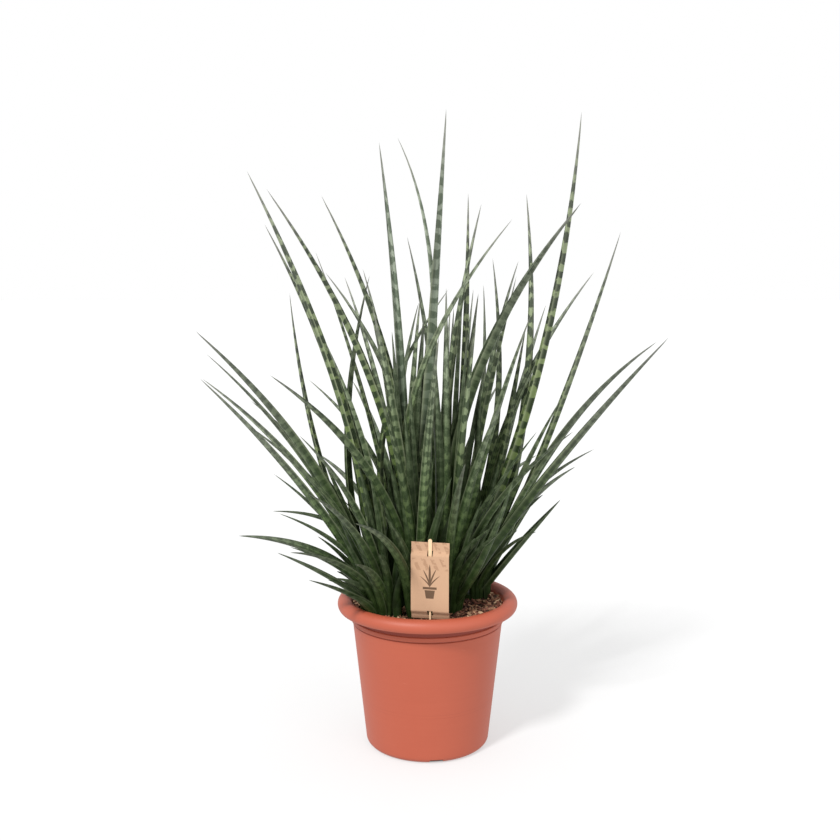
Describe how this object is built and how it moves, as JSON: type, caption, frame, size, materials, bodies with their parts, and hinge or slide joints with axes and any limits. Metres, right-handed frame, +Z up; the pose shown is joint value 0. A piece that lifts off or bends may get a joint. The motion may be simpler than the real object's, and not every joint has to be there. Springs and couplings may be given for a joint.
{
  "type": "potted fernwood punk snake plant",
  "caption": "Tapered nursery pot with a rolled rim, bark mulch, clustered rosettes of slim channelled banded leaves with long awl tips, and a plain card tag on a flat stick.",
  "frame": {"origin": "centre of the pot's base, on the surface that the pot stands on", "axes": "+Z up along the pot's axis; -Y is the front, where the tag stands; +X is to the right seen from the front"},
  "size_m": [0.5255, 0.4504, 0.72],
  "materials": {
    "pot_plastic": "satin",
    "mulch": "matte",
    "leaf": "satin",
    "card": "matte",
    "stick_wood": "matte"
  },
  "bodies": {
    "root": {"pot": "pot_plastic", "soil": "mulch", "shoot_front_left": "leaf", "shoot_left": "leaf", "shoot_front": "leaf", "shoot_middle": "leaf", "shoot_front_right": "leaf", "shoot_right": "leaf", "shoot_back_left": "leaf", "shoot_middle_right": "leaf", "shoot_back": "leaf", "plant_tag": "card", "tag_stick": "stick_wood"}
  },
  "joints": []
}
